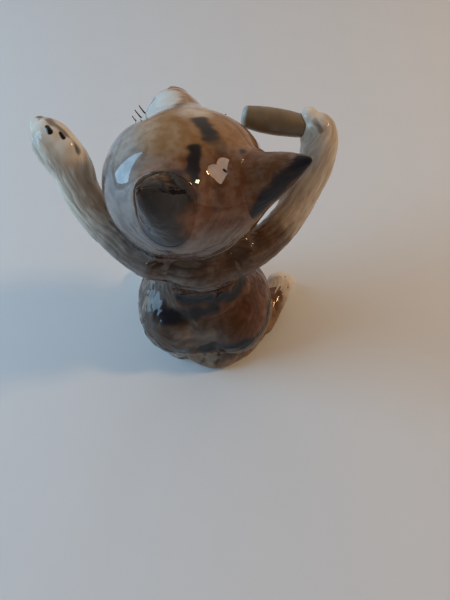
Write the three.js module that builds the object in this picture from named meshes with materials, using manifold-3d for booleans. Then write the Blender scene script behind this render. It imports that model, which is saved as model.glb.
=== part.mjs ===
// A small glazed ceramic cat, sitting upright with both arms raised and its head thrown back.
// Slip-cast pieces luted together before firing: a hollow torso and head, solid limbs, ears and tail,
// a baton glued into the right paw, and short bristles set in holes in the cheeks.
// Millimetres, +Z up. The cat faces -Y, its left side is +X, and the origin is the middle of its flat underside.
import * as THREE from "three";
import { mergeVertices } from "three/addons/utils/BufferGeometryUtils.js";
import Module from "manifold-3d";

const wasm = await Module();
wasm.setup();

// Driving dimensions
const WALL = 3; // thickness of the cast shells
const LUTE = 0.3; // gap between two pieces that meet
const DEGREE = Math.PI / 180;

const HEAD_CENTRE = new THREE.Vector3(2, -0.8, 65.4);
const HEAD_TURN = { yaw: 10 * DEGREE, pitch: 38 * DEGREE, roll: 15 * DEGREE };
const HEAD_RADII = new THREE.Vector3(20.2, 18.1, 18.6); // half width, half depth, half height
const EAR_SPREAD = 33 * DEGREE; // from the crown towards the side of the head
const EAR_TWIST = 12 * DEGREE; // how far the ear's front edge turns in towards the crown
const EAR_SETBACK = { left: 2.8, right: 0.2 }; // behind the middle of the head; the two were set by hand
const EAR_ROOT = 11; // head centre to the hidden foot of the ear
const EAR_REACH = 33; // head centre to ear tip
const EAR_FRONT = [4.2, 4.3, 4.4, 4.2, 2.4]; // middle of the ear to its front edge, foot to tip
const EAR_BACK = [12, 11.4, 8.4, 4.4, 1]; // middle of the ear to its back edge
const EAR_HALF_THICKNESS = [5.4, 4.8, 3.8, 2.6, 1.2];
const EAR_BLUNTNESS = 8; // the higher, the flatter the ear's foot and the shorter its rounded tip
const NECK_BORE = { radius: 5, low: 40, high: 60 }; // the passage between the two hollow castings
const DRAIN = { radius: 3, low: -5, high: 10, y: -8 };
const HEAD_BORE_LENGTH = 30;
const THINNEST_CORE = 0.4; // narrowest radius of the torso's hollow
const BUNCHING = 0.85; // how far a limb's rows crowd towards its two ends
const BRISTLE_RADIUS = 0.28;
const BRISTLE_LENGTH = 4.4;
const BRISTLE_SINK = 1.6; // how deep the bristle's foot sits in the cheek
const BRISTLE_LEAN = { out: 26, up: 12 }; // degrees between the cheek's outward direction and the bristle
const BRISTLE_ROOTS = {
  left: [[20, -7], [22, -13], [24, -19]], // degrees out from the nose line, and up
  right: [[-33, -5], [-34, -11], [-35, -17]],
};

// Torso outline from the top down: height, then the radius at the sides, the back and the front.
const TORSO_STATIONS = [
  [57, 0, 0, 0],
  [55, 4.5, 4.5, 4.5],
  [50.5, 11, 11, 9],
  [46, 15.4, 15.3, 11.6],
  [42, 15.2, 15, 12.6],
  [37, 13.4, 12.4, 13.2],
  [32, 13.8, 11.9, 14.3],
  [26, 17, 13.9, 16.4],
  [19, 20.8, 17.4, 18.4],
  [11, 22.4, 19.4, 19.2],
  [4, 21.8, 19.8, 18.6],
  [0.9, 20.2, 18.6, 17.4],
  [0, 18.4, 17, 16],
  [0, 0, 0, 0],
];

const LEFT_ARM = {
  path: [
    [9, 8, 44.6],
    [18.5, 4.6, 48],
    [26.6, -1.3, 52.6],
    [30.8, -6.3, 58],
    [32.6, -10, 62.5],
    [36, -13.2, 66.7],
    [40.2, -16.4, 70.2],
  ],
  radii: [6.6, 5.6, 5, 4.9, 5.2, 5.8, 5],
};
const RIGHT_ARM = {
  path: [
    [-9, 7, 46.2],
    [-16.6, 2.8, 46.4],
    [-23.2, -3.4, 48.4],
    [-28.8, -10.2, 54.4],
    [-31.6, -15.3, 60],
    [-31.4, -18.9, 65.6],
    [-28.4, -20.8, 69.4],
  ],
  radii: [5.8, 5.3, 4.9, 4.7, 4.8, 5.1, 4.5],
};
const RIGHT_FOOT = { path: [[-18.5, 9, 4.2], [-22.5, 0, 4.6], [-25.5, -7, 4.7], [-28, -13.6, 4.4]], radii: [3.8, 4.4, 4.8, 4.5] };
const LEFT_FOOT = { path: [[16, 4, 4.2], [18, -5, 4.6], [19.2, -12, 4.7], [20, -19, 4.4]], radii: [3.8, 4.4, 4.8, 4.5] };
const TAIL = {
  path: [[6, 15, 3.5], [-3.5, 18.2, 3.4], [-11.6, 15, 3.3], [-17.6, 9, 3.2], [-21.6, 2.4, 3], [-23.2, -2.2, 2.9]],
  radii: [2.6, 3.3, 3.4, 3.2, 2.9, 2.4],
};
const BATON = { from: [-11.2, -21.4, 69.2], to: [-29.4, -20.2, 66.6], radii: [2.9, 3.25, 3.2, 2.9] };

const vector = (point) => new THREE.Vector3(...point);

// A closed skin: the grid of a sphere, each point moved to place(turn, rise), where turn goes once round the
// axis and rise goes from 0 at the lower pole to 1 at the upper one.
function skin(around, rows, place) {
  const geometry = new THREE.SphereGeometry(1, around, rows);
  const { position, uv } = geometry.attributes;
  for (let i = 0; i < position.count; i++) {
    const point = place(2 * Math.PI * uv.getX(i), uv.getY(i));
    position.setXYZ(i, point.x, point.y, point.z);
  }
  return geometry;
}

function solid(geometry, matrix = new THREE.Matrix4()) {
  const bare = geometry.clone().applyMatrix4(matrix);
  bare.deleteAttribute("normal");
  bare.deleteAttribute("uv");
  const merged = mergeVertices(bare, 1e-4);
  return new wasm.Manifold(
    new wasm.Mesh({
      numProp: 3,
      vertProperties: merged.attributes.position.array,
      triVerts: new Uint32Array(merged.index.array),
    }),
  );
}

function geometryOf(manifold) {
  const mesh = manifold.getMesh();
  const points = new Float32Array(mesh.numVert * 3);
  for (let i = 0; i < mesh.numVert; i++) {
    const start = i * mesh.numProp;
    points.set(mesh.vertProperties.subarray(start, start + 3), i * 3);
  }
  const geometry = new THREE.BufferGeometry();
  geometry.setAttribute("position", new THREE.BufferAttribute(points, 3));
  geometry.setIndex(new THREE.BufferAttribute(mesh.triVerts, 1));
  geometry.computeVertexNormals();
  return geometry;
}

function piece(name, manifold, material) {
  const mesh = new THREE.Mesh(geometryOf(manifold), material);
  mesh.name = name;
  return mesh;
}

// A value read off a list at t from 0 to 1, on a smooth curve through its entries.
function along(list, t) {
  const curve = new THREE.SplineCurve(list.map((value, i) => new THREE.Vector2(i, value)));
  return curve.getPoint(t).y;
}

// A rounded bar along a curve. Its radius follows the list and closes at both ends on an arc of length cap.
function limb({ path, radii, cap = 4, grow = 0, around = 14, rows = 18, floor = -Infinity }) {
  const curve = new THREE.CatmullRomCurve3(path.map(vector), false, "centripetal");
  const length = curve.getLength();
  return skin(around, rows, (turn, rise) => {
    const s = rise - (BUNCHING * Math.sin(2 * Math.PI * rise)) / (2 * Math.PI);
    const reach = (s - 0.5) * (length + 2 * grow) + 0.5 * length;
    const t = THREE.MathUtils.clamp(reach / length, 0, 1);
    const tangent = curve.getTangentAt(t);
    const centre = curve.getPointAt(t).addScaledVector(tangent, reach - t * length);
    const end = Math.min(1, ((0.5 - Math.abs(s - 0.5)) * (length + 2 * grow)) / (cap + grow));
    const radius = (along(radii, t) + grow) * Math.sqrt(Math.max(0, 1 - (1 - end) ** 2));
    const side = new THREE.Vector3(0, 0, 1).cross(tangent).normalize();
    const over = tangent.clone().cross(side);
    const point = centre
      .addScaledVector(side, radius * Math.cos(turn))
      .addScaledVector(over, radius * Math.sin(turn));
    point.z = Math.max(point.z, floor);
    return point;
  });
}

// The torso's skin, moved outward by grow, or inward where grow is negative.
function torsoSkin(grow = 0, around = 40, rows = 28) {
  const stations = TORSO_STATIONS;
  const [heights, sides, backs, fronts] = [0, 1, 2, 3].map((column) => stations.map((row) => row[column]));
  const top = heights[0] + grow;
  return skin(around, rows, (turn, rise) => {
    const t = 1 - rise;
    const back = Math.max(0, Math.sin(turn)) ** 2;
    const front = Math.max(0, -Math.sin(turn)) ** 2;
    const side = Math.cos(turn) ** 2;
    const radius = side * along(sides, t) + back * along(backs, t) + front * along(fronts, t);
    const inner = rise === 0 || rise === 1 ? 0 : Math.max(THINNEST_CORE, radius + grow);
    const height = THREE.MathUtils.clamp(along(heights, t), -grow, top);
    return new THREE.Vector3(inner * Math.cos(turn), inner * Math.sin(turn), height);
  });
}

// How far a bump of unit height raises the head at an angle from its middle.
const bump = (direction, middle, width) => Math.exp(-((direction.angleTo(middle) / width) ** 2));

// A direction on the head, by its angle to the cat's left of straight ahead and its angle up.
function facing(left, up) {
  const [l, u] = [left * DEGREE, up * DEGREE];
  return new THREE.Vector3(Math.sin(l) * Math.cos(u), -Math.cos(l) * Math.cos(u), Math.sin(u));
}

const NOSE = { middle: facing(-4, -5), width: 0.23, height: 4.4 };
const PADS = [9, -13].map((left) => ({ middle: facing(left, -17), width: 0.22, height: 3 }));
const CHIN = { middle: facing(-2, -35), width: 0.24, height: 2 };
const CHEEKS = [55, -55].map((left) => ({ middle: facing(left, -24), width: 0.42, height: 0.8 }));
const EYE_SOCKETS = [27, -27].map((left) => ({ middle: facing(left, 12), width: 0.2, height: -0.7 }));

function headRadius(direction) {
  const { x, y, z } = HEAD_RADII;
  const oval = 1 / Math.hypot(direction.x / x, direction.y / y, direction.z / z);
  const bumps = [NOSE, ...PADS, CHIN, ...CHEEKS, ...EYE_SOCKETS];
  return bumps.reduce((sum, b) => sum + b.height * bump(direction, b.middle, b.width), oval);
}

// The head's skin about its own centre, with one pole at the nose.
function headSkin(grow = 0, around = 36, rows = 24) {
  return skin(around, rows, (turn, rise) => {
    const tilt = Math.PI * (1 - rise);
    const direction = new THREE.Vector3(
      Math.sin(tilt) * Math.cos(turn),
      -Math.cos(tilt),
      Math.sin(tilt) * Math.sin(turn),
    );
    return direction.multiplyScalar(headRadius(direction) + grow);
  });
}

// An ear on one side: a broad rounded triangle from front to back, thinner across, drawn up to a blunt point.
function earSkin(side) {
  const setback = side > 0 ? EAR_SETBACK.left : EAR_SETBACK.right;
  const axis = new THREE.Vector3(side * Math.sin(EAR_SPREAD), 0, Math.cos(EAR_SPREAD));
  const inward = new THREE.Vector3(-side * Math.cos(EAR_SPREAD), 0, Math.sin(EAR_SPREAD));
  const forward = new THREE.Vector3(0, -1, 0);
  const broad = forward.clone().multiplyScalar(Math.cos(EAR_TWIST)).addScaledVector(inward, Math.sin(EAR_TWIST));
  const thin = axis.clone().cross(broad);
  return skin(16, 12, (turn, rise) => {
    const end = Math.sqrt(Math.max(0, 1 - Math.abs(2 * rise - 1) ** EAR_BLUNTNESS));
    const reach = Math.cos(turn) > 0 ? along(EAR_FRONT, rise) : along(EAR_BACK, rise);
    return axis
      .clone()
      .multiplyScalar(THREE.MathUtils.lerp(EAR_ROOT, EAR_REACH, rise))
      .addScaledVector(broad, reach * end * Math.cos(turn))
      .addScaledVector(forward, -setback)
      .addScaledVector(thin, along(EAR_HALF_THICKNESS, rise) * end * Math.sin(turn));
  });
}

// The baton: a short barrel with softly rounded rims.
function batonSkin(grow = 0) {
  return limb({ path: [BATON.from, BATON.to], radii: BATON.radii, cap: 0.9, grow, around: 20, rows: 12 });
}

// One bristle, from inside the cheek wall outward.
function bristleSkin([left, up], grow = 0) {
  const out = facing(left, up);
  const lean = facing(left + BRISTLE_LEAN.out * Math.sign(left), up + BRISTLE_LEAN.up);
  const start = out.clone().multiplyScalar(headRadius(out) - BRISTLE_SINK);
  const end = start.clone().addScaledVector(lean, BRISTLE_LENGTH);
  return limb({
    path: [start.toArray(), end.toArray()],
    radii: [BRISTLE_RADIUS, BRISTLE_RADIUS],
    cap: BRISTLE_RADIUS,
    grow,
    around: 8,
    rows: 6,
  });
}

const glaze = (color) => new THREE.MeshStandardMaterial({ color, roughness: 0.12, metalness: 0 });
const tabby = glaze(0x6b4a33);
const cream = glaze(0xb59a7c);
const charcoal = glaze(0x3a3230);
const olive = new THREE.MeshStandardMaterial({ color: 0x5f5138, roughness: 0.3, metalness: 0 });
const bristle = new THREE.MeshStandardMaterial({ color: 0x2d211c, roughness: 0.5, metalness: 0 });

const head = new THREE.Group();
head.position.copy(HEAD_CENTRE);
head.rotation.set(-HEAD_TURN.pitch, -HEAD_TURN.roll, HEAD_TURN.yaw, "ZXY");
head.updateMatrix();

function cylinder({ radius, low, high, y = 0 }) {
  const geometry = new THREE.CylinderGeometry(radius, radius, high - low, 24);
  geometry.rotateX(Math.PI / 2);
  geometry.translate(0, y, (low + high) / 2);
  return solid(geometry);
}

function headCasting() {
  const boreInHead = new THREE.Matrix4().copy(head.matrix).invert();
  const bore = cylinder({ ...NECK_BORE, low: HEAD_CENTRE.z - HEAD_BORE_LENGTH, high: HEAD_CENTRE.z });
  let casting = solid(headSkin())
    .subtract(solid(headSkin(-WALL, 20, 14)))
    .subtract(bore.transform(boreInHead.elements));
  for (const root of Object.values(BRISTLE_ROOTS).flat())
    casting = casting.subtract(solid(bristleSkin(root, LUTE)));
  return piece("head_casting", casting, tabby);
}

function ear(name, side) {
  return piece(name, solid(earSkin(side)).subtract(solid(headSkin(LUTE))), charcoal);
}

function torsoCasting() {
  const casting = solid(torsoSkin())
    .subtract(solid(headSkin(LUTE), head.matrix))
    .subtract(solid(torsoSkin(-WALL, 20, 14)))
    .subtract(cylinder(NECK_BORE))
    .subtract(cylinder(DRAIN));
  return piece("torso_casting", casting, tabby);
}

function arm(name, shape, holds) {
  let made = solid(limb({ ...shape, cap: 4.5 }))
    .subtract(solid(torsoSkin(LUTE)))
    .subtract(solid(headSkin(LUTE), head.matrix));
  if (holds) made = made.subtract(solid(holds));
  return piece(name, made, cream);
}

function foot(name, shape) {
  return piece(name, solid(limb({ ...shape, rows: 14, floor: 0 })).subtract(solid(torsoSkin(LUTE))), cream);
}

function tail() {
  const rightFoot = solid(limb({ ...RIGHT_FOOT, rows: 14, floor: -LUTE, grow: LUTE }));
  const made = solid(limb({ ...TAIL, cap: 3, around: 12, rows: 20, floor: 0 }))
    .subtract(solid(torsoSkin(LUTE)))
    .subtract(rightFoot);
  return piece("tail", made, charcoal);
}

head.add(headCasting(), ear("left_ear", 1), ear("right_ear", -1));
for (const [side, roots] of Object.entries(BRISTLE_ROOTS))
  roots.forEach((root, i) => head.add(piece(`${side}_whisker_${i + 1}`, solid(bristleSkin(root)), bristle)));

const cat = new THREE.Group();
cat.add(
  torsoCasting(),
  head,
  arm("left_arm", LEFT_ARM),
  arm("right_arm", RIGHT_ARM, batonSkin(LUTE)),
  foot("left_foot", LEFT_FOOT),
  foot("right_foot", RIGHT_FOOT),
  tail(),
  piece("baton", solid(batonSkin()), olive),
);

export default cat;
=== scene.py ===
import math

import bpy
import numpy as np
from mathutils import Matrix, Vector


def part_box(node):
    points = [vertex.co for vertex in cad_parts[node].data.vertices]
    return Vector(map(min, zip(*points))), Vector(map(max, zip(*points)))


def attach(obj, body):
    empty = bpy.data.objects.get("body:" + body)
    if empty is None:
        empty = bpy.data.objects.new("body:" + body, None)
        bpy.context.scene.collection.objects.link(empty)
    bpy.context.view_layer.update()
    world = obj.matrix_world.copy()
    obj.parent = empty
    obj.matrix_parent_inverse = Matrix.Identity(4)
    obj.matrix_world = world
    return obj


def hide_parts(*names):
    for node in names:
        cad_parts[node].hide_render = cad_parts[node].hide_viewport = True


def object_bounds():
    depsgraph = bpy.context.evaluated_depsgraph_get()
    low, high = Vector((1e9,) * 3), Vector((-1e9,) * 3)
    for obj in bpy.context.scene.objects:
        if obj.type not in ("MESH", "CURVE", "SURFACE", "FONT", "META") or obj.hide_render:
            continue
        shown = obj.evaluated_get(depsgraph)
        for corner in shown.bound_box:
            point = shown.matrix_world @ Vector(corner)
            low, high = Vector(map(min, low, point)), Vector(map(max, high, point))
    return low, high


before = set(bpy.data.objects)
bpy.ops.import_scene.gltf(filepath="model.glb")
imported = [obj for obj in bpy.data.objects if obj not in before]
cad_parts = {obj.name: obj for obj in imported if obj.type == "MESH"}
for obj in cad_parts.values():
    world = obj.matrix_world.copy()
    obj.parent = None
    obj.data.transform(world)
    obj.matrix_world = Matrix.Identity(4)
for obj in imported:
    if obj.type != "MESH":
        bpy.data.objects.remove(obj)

bl_info = {
    "name": "Singing Cat Ornament",
    "version": (1, 0, 0),
    "blender": (4, 5, 0),
    "location": "3D View > Sidebar > Cat",
    "description": "Builds a small glazed ceramic cat that sits up with its arms raised",
    "category": "Add Mesh",
}

# --- sizes, in metres unless a name says otherwise; places come from the boxes of the CAD nodes ---

MM = 0.001
CAD_BOX = [list(corner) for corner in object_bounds()]


def span(node):
    """Low corner and size of a CAD node's box."""
    low, high = (np.array(corner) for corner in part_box(node))
    return low, high - low


def inside(node, fractions):
    """Places given as fractions of a CAD node's box, counted from its low corner."""
    low, size = span(node)
    return low + np.array(fractions) * size


TORSO_LOW, TORSO_SIZE = span("torso_casting")
TORSO_HEIGHT, TORSO_HALF = TORSO_SIZE[2], TORSO_SIZE[0] / 2
HEAD_SIZE = span("head_casting")[1][0]
HEAD_CENTRE = inside("head_casting", (0.497, 0.543, 0.497))
HEAD_RADII = HEAD_SIZE * np.array([0.503, 0.451, 0.463])  # half width, half depth, half height
HEAD_YAW, HEAD_PITCH, HEAD_ROLL = 10, 38, 15  # degrees: to its left, up, and leaning to its right

# From the top down: height over the torso's height, then the radius at the sides, the back and the
# front over half its width.
TORSO_STATIONS = (
    (1.114, 0, 0, 0),
    (1.075, 0.2, 0.2, 0.2),
    (0.987, 0.49, 0.49, 0.4),
    (0.899, 0.687, 0.682, 0.517),
    (0.821, 0.678, 0.669, 0.562),
    (0.723, 0.598, 0.553, 0.589),
    (0.625, 0.616, 0.531, 0.638),
    (0.508, 0.758, 0.62, 0.731),
    (0.371, 0.928, 0.776, 0.821),
    (0.215, 0.999, 0.865, 0.856),
    (0.078, 0.972, 0.883, 0.83),
    (0.018, 0.901, 0.83, 0.776),
    (0, 0.821, 0.758, 0.714),
    (0, 0, 0, 0),
)

# A limb's centre line as fractions of its CAD box, its radii along it in mm, and the length of its
# rounded ends in mm.
LIMBS = {
    "left_arm": dict(
        route=(
            (-0.005, 0.854, 0.138), (0.285, 0.747, 0.242), (0.533, 0.561, 0.383),
            (0.661, 0.404, 0.549), (0.716, 0.288, 0.687), (0.82, 0.188, 0.815),
            (0.948, 0.087, 0.923),
        ),
        radii=(6.6, 5.6, 5, 4.9, 5.2, 5.8, 5),
        cap=4.5,
    ),
    "right_arm": dict(
        route=(
            (1.037, 0.901, 0.18), (0.753, 0.779, 0.187), (0.507, 0.598, 0.254),
            (0.298, 0.399, 0.454), (0.193, 0.25, 0.641), (0.201, 0.145, 0.828),
            (0.313, 0.09, 0.955),
        ),
        radii=(5.8, 5.3, 4.9, 4.7, 4.8, 5.1, 4.5),
        cap=4.5,
    ),
    "left_foot": dict(
        route=((0.133, 1.365, 0.446), (0.344, 0.831, 0.489), (0.47, 0.416, 0.5), (0.555, 0, 0.468)),
        radii=(3.8, 4.4, 4.8, 4.5),
        cap=4,
    ),
    "right_foot": dict(
        route=((1.057, 0.986, 0.446), (0.72, 0.599, 0.489), (0.467, 0.298, 0.499), (0.256, 0.014, 0.467)),
        radii=(3.8, 4.4, 4.8, 4.5),
        cap=4,
    ),
    "tail": dict(
        route=(
            (1.15, 0.59, 0.55), (0.749, 0.79, 0.534), (0.407, 0.59, 0.519),
            (0.154, 0.214, 0.503), (-0.015, -0.2, 0.472), (-0.083, -0.488, 0.456),
        ),
        radii=(2.6, 3.3, 3.4, 3.2, 2.9, 2.4),
        cap=3,
    ),
}  # fmt: skip

# Toes: small balls melted into the end of a limb, as fractions of its box, with their radius.
TOES = {
    "left_arm": (((0.7, 0.25, 0.86), (0.78, 0.19, 0.9), (0.86, 0.12, 0.92), (0.93, 0.06, 0.89)), 2.7),
    "right_arm": (((0.3, 0.09, 0.95), (0.3, 0.04, 0.93), (0.32, 0.02, 0.87), (0.34, 0.04, 0.81)), 2.1),
    "left_foot": (((0.23, 0.09, 0.49), (0.43, 0.05, 0.55), (0.65, 0.05, 0.53), (0.84, 0.11, 0.47)), 2.2),
    "right_foot": (((0.51, 0.06, 0.49), (0.35, 0.03, 0.55), (0.17, 0.05, 0.53), (0.07, 0.11, 0.47)), 2.2),
}

EAR_SPREAD, EAR_TWIST = math.radians(33), math.radians(12)
EAR_ROOT, EAR_REACH = 11 * MM, 33 * MM  # from the head's centre to the ear's foot and tip
# From foot to tip, in mm: breadth in front of the ear's axis and behind it, and half its thickness.
EAR_FRONT = (4.4, 4.3, 3.8, 2.8, 1.2)
EAR_BACK = (10.4, 9.6, 7.6, 4.8, 1.6)
EAR_HALF_THICKNESS = (7.4, 6.4, 4.9, 3.2, 1.4)
EAR_SETBACK = {"left_ear": 2.8 * MM, "right_ear": 0.2 * MM}

EAR_HOLLOW = 0.4  # how far the outer face is pressed in, over the half thickness

DRAIN_RADIUS, DRAIN_DEPTH, DRAIN_Y = 3 * MM, 12 * MM, -8 * MM

# Haunches: oval balls melted into the torso, one on each side, as fractions of its box.
HAUNCHES = ((0.288, 0.555, 0.264), (0.7, 0.555, 0.264))
HAUNCH_RADII = TORSO_HALF * np.array([0.598, 0.78, 0.67])
TAIL_BED = 1.9 * MM  # depth of the dip in the torso where the tail lies

BATON_ENDS = ((0.998, 0.414, 0.659), (0.002, 0.587, 0.34))
BATON_RADII = (2.9, 3.25, 3.2, 2.9)
BATON_CAP = 1.8 * MM

WHISKER_SINK, WHISKER_LENGTH, WHISKER_RADIUS, WHISKER_CURL = 1.6 * MM, 3.7 * MM, 0.26 * MM, 2.2 * MM
WHISKER_LEAN = (26, 12)  # degrees outward and up from the cheek's own direction

# How much the rows of a tube crowd towards its two ends.
LIMB_CROWDING, BATON_CROWDING, WHISKER_CROWDING = 0.85, 0.94, 0.5

MELT_REACH = 6 * MM  # the furthest that a skin rises to meet its neighbours

# The camera, measured from the middle of the underside.
CAMERA_PLACE = (-7 * MM, 80 * MM, 150 * MM)
CAMERA_TILT = math.radians(30)  # from straight down
CAMERA_LENS = 28.08

# Two lights, in directions from the middle of the object.
LIGHT_DISTANCE = 0.6
WINDOW = {"direction": (0.9, 0.02, 0.4), "size": (0.42, 0.48), "colour": (0.34, 0.68, 1.0)}
LAMP = {"direction": (-0.76, -0.1, 0.62), "size": (0.07, 0.07), "colour": (1.0, 0.62, 0.28)}
SURROUND_COLOUR = (1.0, 0.84, 0.71, 1)

# --- the numbers behind the shapes ---

RANDOM = np.random.default_rng(7)
LATTICE = RANDOM.permutation(256)
SLOPES = RANDOM.normal(size=(256, 3))
SLOPES /= np.linalg.norm(SLOPES, axis=1)[:, None]


def noise(points):
    """Smooth gradient noise at an array of points, about -1 to 1: each corner of a unit cell carries a
    random slope, and a quintic curve fades from corner to corner."""
    cell = np.floor(points).astype(np.int64)
    part = points - cell
    ease = part**3 * (part * (part * 6 - 15) + 10)
    total = np.zeros(len(points))
    for corner in np.ndindex(2, 2, 2):
        spot = (cell + corner) & 255
        pick = LATTICE[(LATTICE[(LATTICE[spot[:, 0]] + spot[:, 1]) & 255] + spot[:, 2]) & 255]
        weight = np.prod(np.where(corner, ease, 1 - ease), axis=1)
        total += weight * np.einsum("ij,ij->i", part - corner, SLOPES[pick])
    return 1.5 * total


def step(low, high, value):
    """0 below low, 1 above high, and an even S between them."""
    t = np.clip((value - low) / (high - low), 0, 1)
    return t * t * (3 - 2 * t)


def along(values, t):
    """Reads an evenly spaced list at t from 0 to 1, on a Catmull-Rom curve through its entries."""
    values = np.asarray(values, float)
    last = len(values) - 1
    place = np.clip(t, 0, 1) * last
    first = np.minimum(np.floor(place).astype(int), last - 1)
    w = place - first
    a, b, c, d = (values[np.clip(first + i, 0, last)] for i in (-1, 0, 1, 2))
    rise, fall = (c - a) / 2, (d - b) / 2
    return ((2 * b - 2 * c + rise + fall) * w + (-3 * b + 3 * c - 2 * rise - fall)) * w * w + rise * w + b


def curve(points, count):
    """A centripetal Catmull-Rom curve through the points, cut at equal lengths into count points."""
    points = np.asarray(points, float)
    ends = [2 * points[0] - points[1], *points, 2 * points[-1] - points[-2]]
    fine = []
    for a, b, c, d in zip(ends, ends[1:], ends[2:], ends[3:]):
        ab, bc, cd = (math.sqrt(np.linalg.norm(q - p)) for p, q in ((a, b), (b, c), (c, d)))
        leave = ((b - a) / ab - (c - a) / (ab + bc) + (c - b) / bc) * bc
        arrive = ((c - b) / bc - (d - b) / (bc + cd) + (d - c) / cd) * bc
        w = np.linspace(0, 1, 40, endpoint=False)[:, None]
        cubic, square = 2 * b - 2 * c + leave + arrive, -3 * b + 3 * c - 2 * leave - arrive
        fine.append(cubic * w**3 + square * w**2 + leave * w + b)
    fine = np.concatenate([*fine, points[-1:]])
    lengths = np.r_[0, np.cumsum(np.linalg.norm(np.diff(fine, axis=0), axis=1))]
    even = np.linspace(0, lengths[-1], count)
    return np.stack([np.interp(even, lengths, fine[:, i]) for i in range(3)], 1), lengths[-1]


def unit(vectors):
    """The same directions at length 1."""
    return vectors / np.maximum(np.linalg.norm(vectors, axis=-1, keepdims=True), 1e-12)


def soften(a, b, melt):
    """The smaller of two distances, rounded off where they are nearly equal, over the length melt."""
    overlap = np.maximum(melt - np.abs(a - b), 0) / melt
    return np.minimum(a, b) - overlap * overlap * melt / 4


def turned(axis, degrees):
    """The matrix of a turn about one axis."""
    a = math.radians(degrees)
    i, j = {"X": (1, 2), "Y": (2, 0), "Z": (0, 1)}[axis]
    matrix = np.eye(3)
    matrix[i, i] = matrix[j, j] = math.cos(a)
    matrix[i, j], matrix[j, i] = -math.sin(a), math.sin(a)
    return matrix


HEAD_TURN = turned("Z", HEAD_YAW) @ turned("X", -HEAD_PITCH) @ turned("Y", -HEAD_ROLL)


def facing(left, up):
    """A direction on the head: degrees to the cat's left of its nose line, and degrees up."""
    left, up = math.radians(left), math.radians(up)
    return np.array([math.sin(left) * math.cos(up), -math.cos(left) * math.cos(up), math.sin(up)])


# Low swellings of the head: middle, width in radians, height.
HEAD_BUMPS = (
    (facing(-1.5, -5), 0.27, 4.3 * MM),
    (facing(9, -17), 0.22, 3 * MM),
    (facing(-13, -17), 0.22, 3 * MM),
    (facing(-2, -35), 0.24, 2 * MM),
    (facing(55, -24), 0.42, 0.8 * MM),
    (facing(-55, -24), 0.42, 0.8 * MM),
    (facing(27, 12), 0.2, -0.7 * MM),
    (facing(-27, 12), 0.2, -0.7 * MM),
)


def head_radius(directions):
    """Distance from the head's centre to its skin: an oval with a Gaussian swelling for each bump."""
    radius = 1 / np.linalg.norm(directions / HEAD_RADII, axis=1)
    for middle, width, height in HEAD_BUMPS:
        angle = np.arccos(np.clip(directions @ middle, -1, 1))
        radius = radius + height * np.exp(-((angle / width) ** 2))
    return radius


def to_head(points):
    """Places in the head's own frame, from its centre, in metres."""
    return (points - HEAD_CENTRE) @ HEAD_TURN


def from_head(points):
    """The way back from to_head."""
    return HEAD_CENTRE + points @ HEAD_TURN.T


def head_field(points):
    """Distance outside the head's skin, negative inside it."""
    local = to_head(points)
    return np.linalg.norm(local, axis=1) - head_radius(unit(local))


LAST_STATION = (len(TORSO_STATIONS) - 2) / (len(TORSO_STATIONS) - 1)  # where the wall meets the underside
STATION_STEPS = np.linspace(0, LAST_STATION, 400)
STATION_HEIGHTS, STATION_SIDES, STATION_BACKS, STATION_FRONTS = (
    along([row[i] for row in TORSO_STATIONS], STATION_STEPS) for i in range(4)
)


def torso_radius(angle, sides, backs, fronts):
    """Mixes the side, back and front radii by the squares of the angle's cosine and sine."""
    back, front = np.maximum(0, np.sin(angle)) ** 2, np.maximum(0, -np.sin(angle)) ** 2
    return TORSO_HALF * (np.cos(angle) ** 2 * sides + back * backs + front * fronts)


def torso_field(points):
    """Distance outside the torso's skin, found along its radius and eased by its usual slope."""
    height = -(points[:, 2] - TORSO_LOW[2]) / TORSO_HEIGHT
    outlines = (STATION_SIDES, STATION_BACKS, STATION_FRONTS)
    sides, backs, fronts = (np.interp(height, -STATION_HEIGHTS, outline) for outline in outlines)
    angle = np.arctan2(points[:, 1], points[:, 0])
    across = np.hypot(points[:, 0], points[:, 1]) - torso_radius(angle, sides, backs, fronts)
    return np.maximum(0.9 * across, (-height - TORSO_STATIONS[0][0]) * TORSO_HEIGHT)


def ball_field(centre, radii):
    """Nearly the distance outside an oval ball."""
    centre, radii = np.asarray(centre, float), np.asarray(radii, float) * np.ones(3)

    def field(points):
        scaled = (points - centre) / radii
        size = np.linalg.norm(scaled, axis=1)
        return size * (size - 1) / np.maximum(np.linalg.norm(scaled / radii, axis=1), 1e-9)

    return field


def from_stroke(points, start, end):
    """Distance from each point to the straight stroke between two places, and how far along it that is,
    from 0 to 1."""
    run = end - start
    t = np.clip((points - start) @ run / max(run @ run, 1e-12), 0, 1)
    return np.linalg.norm(points - start - t[:, None] * run, axis=1), t


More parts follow.
